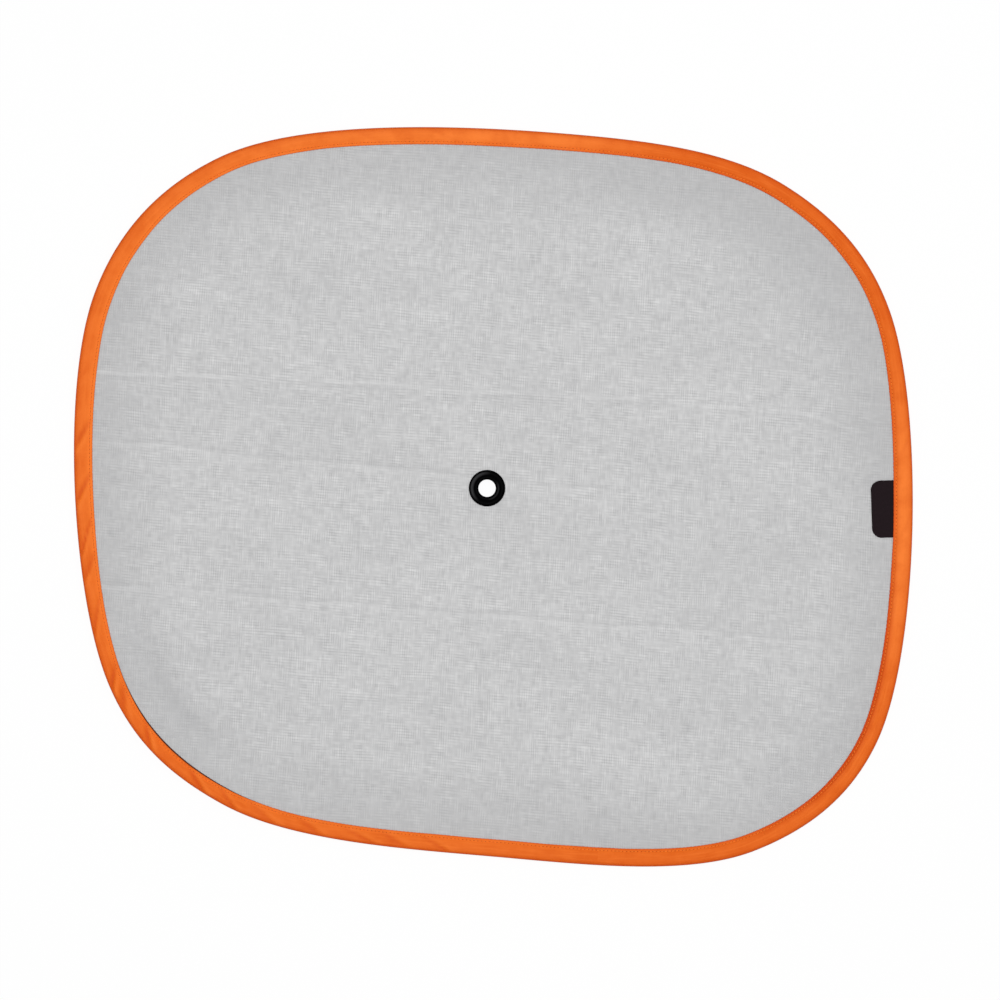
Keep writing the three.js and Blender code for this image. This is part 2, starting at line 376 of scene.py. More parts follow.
def woven_threads(nodes, here, bend, lean, pitch, seed):
    """Threads that run one way: about zero on the whole, up on a thread, down in a gap, clear in patches."""
    along = nodes.dot(here, (math.cos(lean), math.sin(lean), 0.0))
    across = nodes.dot(here, (-math.sin(lean), math.cos(lean), 0.0))
    row = nodes.math("DIVIDE", nodes.math("MULTIPLY_ADD", bend, 4.0 * MM, across), pitch)
    number = nodes.math("MULTIPLY", nodes.math("FLOOR", row), 3.7)
    tone = nodes.noise(nodes.vector(nodes.math("MULTIPLY", along, 150.0), number, seed), 1.0, 1.0)
    rounded = nodes.math("SINE", nodes.math("MULTIPLY", nodes.math("FRACT", row), math.pi))
    clear = nodes.ease(nodes.noise(nodes.vector(along, across, seed), 130.0, 1.0), 0.42, 0.66, 0.1, 1.0)
    rise = nodes.math("MULTIPLY", nodes.math("SUBTRACT", rounded, 0.64), clear)
    tone = nodes.math("MULTIPLY", nodes.math("SUBTRACT", tone, 0.5), 1.1)
    return nodes.math("MULTIPLY_ADD", rise, 0.78, tone), rounded


def press_folds(nodes, here, bend):
    """How much painted highlight and how much painted shade the folds of the pouch put on each spot."""
    x = nodes.dot(here, (1.0, 0.0, 0.0))
    y = nodes.dot(here, (0.0, 1.0, 0.0))
    wobble = nodes.math("MULTIPLY", nodes.math("SUBTRACT", bend, 0.5), 9.0 * MM)
    past = nodes.math("MAXIMUM", nodes.math("SUBTRACT", x, FOLD_TURNS_AT), 0.0)
    turned_down = nodes.math("MULTIPLY", nodes.math("MULTIPLY", past, past), FOLD_TURN_RATE)
    paler, darker = 0.0, 0.0
    for left, right, last, kind in PRESS_FOLDS:
        lean = (right - left) / (BINDING_HIGH[0] - BINDING_LOW[0])
        line = nodes.math("ADD", nodes.math("MULTIPLY_ADD", x, lean, (left + right) / 2), wobble)
        if kind > 0:
            line = nodes.math("SUBTRACT", line, turned_down)
        above = nodes.math("SUBTRACT", y, line)
        shown = nodes.ease(x, last - FOLD_FADE, last, 1.0, 0.0)
        ridge = nodes.ease(nodes.math("ABSOLUTE", above), 0.3 * MM, 1.7 * MM, 1.0, 0.0)
        beside = nodes.math("ABSOLUTE", nodes.math("ADD", above, 2.4 * MM))
        beside = nodes.ease(beside, 0.3 * MM, 2.2 * MM, 0.7, 0.0)
        # A ridge gets a painted highlight with painted shade beside it; a hollow gets them the other way
        # round.
        for_pale, for_dark = (ridge, beside) if kind > 0 else (beside, ridge)
        paler = nodes.math("MULTIPLY_ADD", for_pale, shown, paler)
        darker = nodes.math("MULTIPLY_ADD", for_dark, shown, darker)
    return paler, darker


def mesh_cloth_material():
    nodes = Nodes("grey_mesh_weave")
    here = nodes.here()
    bend = nodes.noise(here, 14.0, 1.0)
    weft, weft_round = woven_threads(nodes, here, bend, WEFT_LEAN, WEFT_PITCH, 2.0)
    warp, warp_round = woven_threads(nodes, here, bend, WARP_LEAN, WARP_PITCH, 9.0)
    threads = nodes.math("MULTIPLY_ADD", nodes.math("ADD", weft, warp), WEAVE_CONTRAST, 0.5)
    rounded = nodes.math("MULTIPLY", weft_round, warp_round)
    x = nodes.dot(here, (1.0, 0.0, 0.0))
    y = nodes.dot(here, (0.08, 1.0, 0.0))
    cloudy = nodes.noise(nodes.vector(nodes.math("MULTIPLY", x, 0.4), y), 26.0, 3.0, 0.6)

    colour = nodes.mix(threads, MESH_DARK, MESH_PALE)
    colour = nodes.mix(nodes.ease(cloudy, 0.3, 0.7, 0.0, 0.16), colour, MESH_DARK)
    near_edge = nodes.attribute("edge_distance").outputs["Fac"]
    colour = nodes.mix(nodes.ease(near_edge, 0.0, 0.05, 0.44, 0.0), colour, MESH_DARK)
    # Painted shade in the lower left sag and over the upper right.
    colour = nodes.mix(nodes.attribute("painted_shade").outputs["Fac"], colour, MESH_DARK)

    paler, darker = press_folds(nodes, here, bend)
    patchy = nodes.ease(nodes.noise(here, 34.0, 2.0), 0.36, 0.62, 0.06, 0.25)
    paler = nodes.math("MULTIPLY", paler, patchy)
    darker = nodes.math("MULTIPLY", darker, patchy)
    # Painted highlight and painted shade along the pressed folds.
    colour = nodes.mix(paler, colour, MESH_PALE)
    colour = nodes.mix(darker, colour, MESH_DARK)

    normal = nodes.bump(rounded, 0.12 * MM, 0.5)
    normal = nodes.bump(nodes.math("SUBTRACT", paler, darker), 0.35 * MM, 0.8, normal)
    rough = nodes.ease(cloudy, 0.3, 0.7, 0.78, 0.92)
    return nodes.finish(colour, {
        "Roughness": rough,
        "Normal": normal,
        "Specular IOR Level": 0.2,
    })


TAPE_ORANGE = (0.73, 0.118, 0.004, 1.0)
TAPE_PALE = (0.94, 0.220, 0.030, 1.0)
TAPE_DEEP = (0.56, 0.060, 0.002, 1.0)
NEEDLE_HOLE_SHADE = (0.34, 0.036, 0.002, 1.0)
# Painted shadow in the gap under the lifted lip at the lower left.
HEM_GAP_SHADOW = (0.080, 0.015, 0.004, 1.0)


def tape_material():
    nodes = Nodes("orange_satin_tape")
    place = nodes.attribute("tape_place").outputs["Vector"]
    along = nodes.dot(place, (1.0, 0.0, 0.0))
    across = nodes.dot(place, (0.0, 1.0, 0.0))
    stitch = nodes.dot(place, (0.0, 0.0, 1.0))
    tone = nodes.attribute("tone").outputs["Fac"]
    seam = nodes.attribute("seam").outputs["Fac"]
    hem = nodes.attribute("hem").outputs["Fac"]
    tape_shading = nodes.attribute("tape_shading").outputs["Fac"]
    crease = nodes.attribute("crease").outputs["Fac"]

    flat = nodes.vector(along, across)
    cloudy = nodes.noise(flat, 90.0, 3.0, 0.6)
    streaks = nodes.noise(
        nodes.vector(nodes.math("MULTIPLY", along, 60.0), nodes.math("MULTIPLY", across, 1100.0)), 1.0, 1.0
    )
    twill = nodes.wave(nodes.math("MULTIPLY_ADD", across, 1.35, along), 0.62 * MM)
    ribs = nodes.wave(along, 0.41 * MM)

    # Painted sheen round the hoop, by the way the satin runs.
    colour = nodes.mix(tone, TAPE_ORANGE, TAPE_PALE)
    colour = nodes.mix(nodes.ease(cloudy, 0.35, 0.75, 0.0, 0.30), colour, TAPE_DEEP)
    colour = nodes.mix(nodes.ease(streaks, 0.4, 0.8, 0.0, 0.32), colour, TAPE_PALE)
    colour = nodes.mix(nodes.math("MULTIPLY", twill, 0.12), colour, TAPE_DEEP)
    # Painted shade where these are above 0, painted highlight where below: seam groove, lip, fold edge, back
    # and puckers.
    for shade in (tape_shading, crease):
        colour = nodes.mix(shade, colour, TAPE_DEEP)
        colour = nodes.mix(nodes.math("MULTIPLY", shade, -1.0), colour, TAPE_PALE)

    # Painted shade in the needle holes between the stitches.
    between = nodes.math("COSINE", nodes.math("MULTIPLY", stitch, 2 * math.pi))
    hole = nodes.math("MULTIPLY", nodes.ease(between, -1.0, -0.2, 1.0, 0.0), nodes.ease(seam, 0.45, 0.95))
    colour = nodes.mix(hole, colour, NEEDLE_HOLE_SHADE)
    # Painted shadow under the lifted hem.
    colour = nodes.mix(nodes.ease(hem, 0.15, 0.5), colour, HEM_GAP_SHADOW)

    normal = nodes.bump(ribs, 0.05 * MM, 0.5)
    normal = nodes.bump(twill, 0.06 * MM, 0.5, normal)
    normal = nodes.bump(cloudy, 0.4 * MM, 0.3, normal)
    rough = nodes.ease(cloudy, 0.3, 0.7, 0.5, 0.62)
    return nodes.finish(colour, {
        "Roughness": rough,
        "Normal": normal,
        "Specular IOR Level": 0.10,
        "Sheen Weight": 0.02,
        "Sheen Roughness": 0.4,
    })


THREAD_ORANGE = (0.84, 0.17, 0.015, 1.0)
THREAD_PALE = (0.94, 0.26, 0.04, 1.0)
THREAD_DEEP = (0.62, 0.10, 0.01, 1.0)


def thread_material():
    nodes = Nodes("orange_sewing_thread")
    here = nodes.here()
    fuzz = nodes.noise(here, 2600.0, 2.0)
    plies = nodes.wave(nodes.dot(here, (0.8, 0.55, 0.3)), 0.23 * MM)
    colour = nodes.mix(nodes.ease(fuzz, 0.3, 0.7), THREAD_ORANGE, THREAD_PALE)
    colour = nodes.mix(nodes.math("MULTIPLY", plies, 0.3), colour, THREAD_DEEP)
    normal = nodes.bump(plies, 0.04 * MM, 0.7)
    rough = nodes.ease(fuzz, 0.3, 0.7, 0.5, 0.7)
    return nodes.finish(colour, {"Roughness": rough, "Normal": normal, "Specular IOR Level": 0.05})


LABEL_GAP = (0.006, 0.003, 0.004, 1.0)
LABEL_YARN = (0.020, 0.011, 0.014, 1.0)
LABEL_FUZZ = (0.022, 0.014, 0.017, 1.0)


def label_material():
    nodes = Nodes("black_woven_label")
    here = nodes.here()
    rows = nodes.wave(nodes.dot(here, (0.0, 1.0, 0.0)), 0.62 * MM)
    picks = nodes.wave(nodes.dot(here, (1.0, 0.35, 0.0)), 0.52 * MM)
    fuzz = nodes.noise(here, 900.0, 2.0)
    weave = nodes.math("MULTIPLY", rows, picks)
    colour = nodes.mix(weave, LABEL_GAP, LABEL_YARN)
    colour = nodes.mix(nodes.ease(fuzz, 0.4, 0.8, 0.0, 0.4), colour, LABEL_FUZZ)
    normal = nodes.bump(weave, 0.06 * MM, 0.8)
    rough = nodes.ease(fuzz, 0.3, 0.7, 0.62, 0.8)
    return nodes.finish(colour, {
        "Roughness": rough,
        "Normal": normal,
        "Specular IOR Level": 0.06,
    })


# Black plastic, its randomly worn tone, and the grey of its painted highlight.
PLASTIC_BLACK = (0.0006, 0.0006, 0.0007, 1.0)
PLASTIC_WORN = (0.0014, 0.0014, 0.0015, 1.0)
PLASTIC_HIGHLIGHT = (0.022, 0.022, 0.023, 1.0)


def eyelet_material():
    """Black plastic, with a painted highlight, grey, on the left of its crown and on the right of its inner
    lip.
    """
    nodes = Nodes("black_moulded_plastic")
    here = nodes.here()
    x = nodes.math("SUBTRACT", nodes.dot(here, (1.0, 0.0, 0.0)), float(EYELET_CENTRE[0]))
    y = nodes.math("SUBTRACT", nodes.dot(here, (0.0, 1.0, 0.0)), float(EYELET_CENTRE[1]))
    radius = nodes.math("SQRT", nodes.math("MULTIPLY_ADD", x, x, nodes.math("MULTIPLY", y, y)))
    leftwards = nodes.math("MULTIPLY_ADD", y, 0.35, nodes.math("MULTIPLY", x, -0.94))
    leftwards = nodes.math("DIVIDE", leftwards, nodes.math("MAXIMUM", radius, 1.0 * MM))
    away = nodes.ease(leftwards, -0.95, -0.4, 0.45, 0.0)
    leftwards = nodes.ease(leftwards, 0.1, 0.9)
    from_crown = nodes.math("ABSOLUTE", nodes.math("SUBTRACT", radius, EYELET_CROWN_RADIUS))
    # Painted highlight: on the crown's left and, below, on the inner lip's right.
    painted_highlight = nodes.math("MULTIPLY", leftwards, nodes.ease(from_crown, 0.2 * MM, 1.2 * MM, 0.85, 0.0))
    from_lip = nodes.math("ABSOLUTE", nodes.math("SUBTRACT", radius, EYELET_LIP_RADIUS))
    painted_highlight = nodes.math("MULTIPLY_ADD", away, nodes.ease(from_lip, 0.1 * MM, 0.6 * MM, 1.0, 0.0), painted_highlight)
    grain = nodes.noise(here, 3200.0, 2.0)
    worn = nodes.noise(here, 160.0, 3.0, 0.65)
    colour = nodes.mix(nodes.ease(worn, 0.4, 0.8), PLASTIC_BLACK, PLASTIC_WORN)
    # The painted highlight, grey over the black.
    colour = nodes.mix(painted_highlight, colour, PLASTIC_HIGHLIGHT)
    rough = nodes.ease(worn, 0.3, 0.7, 0.30, 0.42)
    normal = nodes.bump(grain, 0.02 * MM, 0.25)
    shine = nodes.math("MULTIPLY_ADD", painted_highlight, 0.04, 0.006)
    return nodes.finish(colour, {"Roughness": rough, "Normal": normal, "Specular IOR Level": shine})


STEEL_DARK = (0.24, 0.245, 0.26, 1.0)
STEEL_PALE = (0.36, 0.37, 0.39, 1.0)


def steel_material():
    nodes = Nodes("drawn_spring_steel")
    here = nodes.here()
    drawn = nodes.noise(here, 1400.0, 3.0)
    stain = nodes.noise(here, 45.0, 3.0, 0.6)
    colour = nodes.mix(nodes.ease(stain, 0.35, 0.7), STEEL_DARK, STEEL_PALE)
    rough = nodes.ease(drawn, 0.3, 0.7, 0.24, 0.42)
    normal = nodes.bump(drawn, 0.02 * MM, 0.3)
    return nodes.finish(colour, {"Metallic": 1.0, "Roughness": rough, "Normal": normal})


# The mesh cloth

def cloth_relief(x, y, from_edge, turn):
    """How far the stretched cloth stands off its level: broad, shallow waves and pressed folds."""
    relief = 0.16 * MM * np.sin(2 * math.pi * (y / 0.074 + x / 0.62 + 0.2))
    relief += 0.12 * MM * np.sin(2 * math.pi * (y / 0.043 - x / 0.35 + 0.7) + 1.5 * np.sin(x / 0.06))
    relief += 0.10 * MM * np.sin(2 * math.pi * (x / 0.11 + y / 0.19)) * np.sin(2 * math.pi * (y / 0.13 + 0.1))
    for left, right, last, kind in PRESS_FOLDS:
        line = (left + right) / 2 + (right - left) * x / (BINDING_HIGH[0] - BINDING_LOW[0])
        if kind > 0:
            line = line - FOLD_TURN_RATE * np.maximum(x - FOLD_TURNS_AT, 0.0) ** 2
        shown = 1.0 - smooth_step(x, last - FOLD_FADE, last)
        relief += FOLD_HEIGHT * kind * bell(y, line, 6.0 * MM) * shown
    loose = bell(turn, LOOSE_TURN, LOOSE_SPREAD)
    relief -= LOOSE_SAG * loose * bell(from_edge, 22.0 * MM, 8.0 * MM)
    from_eyelet = np.hypot(x - EYELET_CENTRE[0], y - EYELET_CENTRE[1])
    held = smooth_step(from_edge, 6.0 * MM, 26.0 * MM) * smooth_step(from_eyelet, 10.0 * MM, 24.0 * MM)
    return relief * held


def make_mesh_cloth():
    """The cloth, front and back, from the eyelet's hole to under the seam, with its flat size and area."""
    edge, inward, _ = hoop_edge(SPOKES)
    edge = edge + inward * MESH_INSET
    outwards = edge - EYELET_CENTRE
    hole = EYELET_CENTRE + outwards / np.linalg.norm(outwards, axis=1, keepdims=True) * HOLE_RADIUS
    share = np.linspace(0.0, 1.0, RINGS + 1)[None, :, None]
    level = hole[:, None, :] + (edge - hole)[:, None, :] * share
    x, y = level[..., 0], level[..., 1]
    from_edge = np.linalg.norm(edge - hole, axis=1)[:, None] * (1.0 - share[..., 0])
    turn = np.degrees(np.arctan2(y, x)) % 360.0
    height = MIDDLE_HEIGHT + cloth_relief(x, y, from_edge, turn)
    front = np.stack([x, y, height + MESH_THICKNESS / 2], axis=-1)
    back = np.stack([x, y, height - MESH_THICKNESS / 2], axis=-1)
    rings = np.concatenate([front, back[:, ::-1]], axis=1)
    per_ring = rings.shape[1]
    faces = ring_faces(SPOKES, per_ring)
    cloth = make_mesh("mesh_cloth", rings.reshape(-1, 3), faces, mesh_cloth_material())
    distance = np.concatenate([from_edge, from_edge[:, ::-1]], axis=1)
    store_on_points(cloth, "edge_distance", distance)
    # Painted shade: in the sag along the lower left seam, and over the upper right.
    painted_shade = SAG_SHADE_DEPTH * bell(turn, SAG_SHADE_TURN, SAG_SHADE_SPREAD) * bell(from_edge, SAG_SHADE_INSET, SAG_SHADE_WIDTH)
    painted_shade += SHADED_CORNER_SHADE * bell(turn, SHADED_CORNER_TURN, SHADED_CORNER_SPREAD) * bell(from_edge, 22.0 * MM, 24.0 * MM)
    store_on_points(cloth, "painted_shade", np.concatenate([painted_shade, painted_shade[:, ::-1]], axis=1))
    closed = np.vstack([edge, edge[:1]])
    area = 0.5 * abs(np.sum(closed[:-1, 0] * closed[1:, 1] - closed[1:, 0] * closed[:-1, 1]))
    area -= math.pi * HOLE_RADIUS**2
    size = edge.max(axis=0) - edge.min(axis=0)
    return cloth, (float(size[0]), float(size[1])), float(area)


# The binding and its stitches

# Columns of points across the tape, counted from the front lip.
SEAM_COLUMN = 3
FRONT_COLUMNS = 10
BACK_SEAM_COLUMN = -2
# How much of the seam's painted shade and light each column beside it takes, from the lip on.
BESIDE_SEAM = (0.5, 0.9, 1.0, 1.0, 0.9, 0.4)
# Painted shade at the lip, over the last columns of the fold's top, and from there round to the back.
LIP_SHADES = (0.8, 0.35)
FOLD_SHADES = (0.1, 0.25, 0.6)
BACK_SHADE = 0.9

PUCKERS = 15
PUCKERED_TURNS = (177.0, 266.0)
PUCKER_DEPTH = 0.85 * MM
# How strongly the puckers' valleys are painted as shade and their ridges as highlight.
PUCKER_SHADING = 0.75
LOWEST_TAPE = 0.36 * MM


class Tape:
    """The folded tape: everything that goes round the hoop with it, by station."""

    def __init__(self):
        _, _, length = hoop_edge(1000)
        self.count = int(length / STITCH_PITCH) * STATIONS_PER_STITCH
        self.edge, self.inward, self.length = hoop_edge(self.count)
        station = np.arange(self.count)
        self.along = station * self.length / self.count
        self.turn = np.degrees(np.arctan2(self.edge[:, 1], self.edge[:, 0])) % 360.0
        self.hem = bell(self.turn, HEM_TURN, HEM_SPREAD)
        self.puffed = bell((self.turn - PUFFED_TURN + 180.0) % 360.0 - 180.0, 0.0, PUFFED_SPREAD)
        self.width = every_thirty_degrees(TAPE_WIDTHS, self.turn) * MM
        self.width += 0.18 * MM * wander(self.along, self.length, 0.03, 3)
        self.back_width = BACK_WIDTH + 0.5 * MM * wander(self.along, self.length, 0.12, 4)
        self.pull = 0.5 - 0.5 * np.cos(2 * math.pi * station / STATIONS_PER_STITCH)
        above_label = smooth_step(self.edge[:, 1], LABEL_LOW[1] - 5 * MM, LABEL_LOW[1] + 1 * MM)
        above_label *= 1.0 - smooth_step(self.edge[:, 1], LABEL_HIGH[1] - 1 * MM, LABEL_HIGH[1] + 5 * MM)
        self.over_label = above_label * (self.edge[:, 0] > 0.1)
        lap_end = smooth_step(self.along, TAPE_LAP - 0.5 * MM, TAPE_LAP + 0.8 * MM)
        self.lap = np.where(self.along < TAPE_LAP + 1 * MM, 1.0 - lap_end, 0.0)

    def puckers(self, inset):
        """How deep the slanting creases across the tape are: deep where it is loose, faint elsewhere."""
        rng = np.random.default_rng(11)
        low = np.zeros((self.count, inset.shape[1]))
        across = inset / self.width[:, None]
        first, last = (self.along[np.argmin(np.abs(self.turn - turn))] for turn in PUCKERED_TURNS)
        step = (last - first) / (PUCKERS - 1)
        spots = np.concatenate([
            first + step * (np.arange(PUCKERS) + 0.55 * (rng.random(PUCKERS) - 0.5)),
            rng.random(PUCKERS) * self.length,
        ])
        for number, spot in enumerate(spots):
            depth = (0.6 + 0.4 * rng.random()) * (1.0 if number < PUCKERS else 0.22)
            spread = (2.1 + 1.1 * rng.random()) * MM
            lean = (1.6 + 1.3 * rng.random()) * self.width[:, None]
            away = self.along[:, None] - spot + lean * (across - 0.5)
            away = (away + self.length / 2) % self.length - self.length / 2
            low += depth * (bell(away, 0.0, spread) - 0.6 * bell(away, 2.1 * spread, 1.2 * spread))
        held = np.sin(math.pi * np.clip(across, 0.0, 1.0) ** 0.75)
        return low * held

    def front_leg(self):
        """Insets and heights of the tape's middle layer from the front lip to the top of the fold."""
        seam = self.width - SEAM_TO_EDGE
        crown = MIDDLE_HEIGHT + FOLD_RADIUS - TAPE_THICKNESS / 2
        crown = crown - 0.10 * MM * (1 + wander(self.along, self.length, 0.05, 5)) / 2
        seam_height = MIDDLE_HEIGHT + SEAM_LIFT + 0.45 * MM * self.over_label - 0.10 * MM * self.pull
        lip = seam_height + 0.12 * MM + LIP_LIFT * self.hem
        insets = [self.width + 0.10 * MM * self.hem - 0.06 * MM * self.pull]
        heights = [MIDDLE_HEIGHT + 0.42 * MM + 0.45 * MM * self.over_label]
        insets.append(self.width - 0.15 * MM - HEM_SHOWN * self.hem)
        heights.append(lip)
        insets.append(seam + 0.45 * MM - 0.5 * HEM_SHOWN * self.hem)
        heights.append(seam_height + 0.10 * MM + 0.3 * LIP_LIFT * self.hem)
        insets.append(seam - 0.45 * HEM_SHOWN * self.hem)
        heights.append(seam_height)
        insets.append(seam - 0.45 * MM - 0.4 * HEM_SHOWN * self.hem)
        heights.append(seam_height + 0.16 * MM + 0.45 * MM * self.puffed)
        for share in (0.80, 0.58, 0.36, 0.16, 0.0):
            insets.append(FOLD_RADIUS + (seam - FOLD_RADIUS) * share)
            fullness = 2.2 + 2.6 * self.puffed
            heights.append(seam_height + (crown - seam_height) * (1.0 - share**fullness))
        return insets, heights

    def section(self):
        """The tape's middle layer at every station, from the front lip round the hoop to the back lip."""
        insets, heights = self.front_leg()
        radius = FOLD_RADIUS - TAPE_THICKNESS / 2
        for degrees in (126, 162, 198, 234, 270):
            turn = math.radians(degrees)
            insets.append(np.full(self.count, FOLD_RADIUS + radius * math.cos(turn)))
            heights.append(np.full(self.count, MIDDLE_HEIGHT + radius * math.sin(turn)))
        back_seam = self.back_width - SEAM_TO_EDGE
        back_height = MIDDLE_HEIGHT - SEAM_LIFT + 0.10 * MM * self.pull
        insets.append((FOLD_RADIUS + back_seam) / 2)
        heights.append(np.full(self.count, MIDDLE_HEIGHT - 1.25 * MM))
        insets.append(back_seam)
        heights.append(back_height)
        insets.append(self.back_width)
        heights.append(back_height - 0.08 * MM)
        insets, heights = np.stack(insets, axis=1), np.stack(heights, axis=1)
        self.crease = np.zeros_like(insets)
        self.crease[:, :FRONT_COLUMNS] = self.puckers(insets[:, :FRONT_COLUMNS])
        heights -= PUCKER_DEPTH * self.crease
        raised = heights[:, 1:FRONT_COLUMNS]
        heights[:, 1:FRONT_COLUMNS] = np.maximum(raised, MIDDLE_HEIGHT + LOWEST_TAPE)
        return insets, heights

    def place(self, insets, heights):
        """The points in space of a section's insets and heights."""
        flat = self.edge[:, None, :] + self.inward[:, None, :] * insets[..., None]
        return np.concatenate([flat, heights[..., None]], axis=-1)


def make_binding(tape):
    """The folded tape with its shades and its flat place on every point, and its flat width."""
    insets, heights = tape.section()
    step_in, step_up = np.gradient(insets, axis=1), np.gradient(heights, axis=1)
    size = np.hypot(step_in, step_up)
    out_in, out_up = step_up / size, -step_in / size
    half = TAPE_THICKNESS / 2
    columns = insets.shape[1]
    on_front = np.arange(columns) < FRONT_COLUMNS
    outer = half + LAP_STEP * tape.lap[:, None] * on_front
    outside = tape.place(insets + out_in * outer, heights + out_up * outer)
    inside = tape.place(insets - out_in * half, heights - out_up * half)
    rings = np.concatenate([outside, inside[:, ::-1]], axis=1)
    per_ring = rings.shape[1]
    faces = ring_faces(tape.count, per_ring)
    binding = make_mesh("cloth_binding", rings.reshape(-1, 3), faces, tape_material())

    # Painted sheen: the satin paler or deeper by the way it runs round the hoop.
    tone = every_thirty_degrees(TAPE_SHEENS, tape.turn)[:, None] * np.ones(columns)
    seam = np.zeros_like(insets)
    seam[:, SEAM_COLUMN] = 1.0
    hem = np.zeros_like(insets)
    # The hem's lip edge, where its gap is painted as shadow.
    hem[:, 0] = np.clip(tape.hem * 1.8, 0.0, 1.0)
    # Painted shade in the seam's groove, at the lip's edge, where the fold turns down and on the back;
    # painted light beside the seam on the left.
    tape_shading = np.zeros_like(insets)
    seam_shading = every_thirty_degrees(SEAM_SHADE_AND_LIGHT, tape.turn)
    tape_shading[:, :len(BESIDE_SEAM)] = seam_shading[:, None] * BESIDE_SEAM
    tape_shading[:, :len(LIP_SHADES)] += LIP_SHADES
    tape_shading[:, FRONT_COLUMNS - 2:FRONT_COLUMNS + 1] += FOLD_SHADES
    tape_shading[:, FRONT_COLUMNS + 1:] = BACK_SHADE
    shades = {
        "tone": tone,
        "seam": seam,
        "hem": hem,
        "tape_shading": tape_shading,
        # The puckers' painted shade and highlight.
        "crease": PUCKER_SHADING * tape.crease,
    }
    for name, values in shades.items():
        store_on_points(binding, name, np.concatenate([values, values[:, ::-1]], axis=1))

    steps = np.hypot(np.diff(insets, axis=1), np.diff(heights, axis=1))
    developed = np.concatenate([np.zeros((tape.count, 1)), np.cumsum(steps, axis=1)], axis=1)
    across = np.concatenate([developed, developed[:, ::-1]], axis=1)
    corners = np.empty(len(binding.data.loops), dtype=int)
    binding.data.loops.foreach_get("vertex_index", corners)
    station, point = corners // per_ring, corners % per_ring
    of_last = np.repeat(faces[:, 0] // per_ring == tape.count - 1, 4)
    turned = station + np.where(of_last & (station == 0), tape.count, 0)
    place = np.stack([
        turned * tape.length / tape.count,
        across[station, point],
        turned / STATIONS_PER_STITCH,
    ], axis=1)
    attribute = binding.data.attributes.new("tape_place", "FLOAT_VECTOR", "CORNER")
    attribute.data.foreach_set("vector", place.ravel())
    flat_width = float(developed[:, -1].mean())
    return binding, flat_width


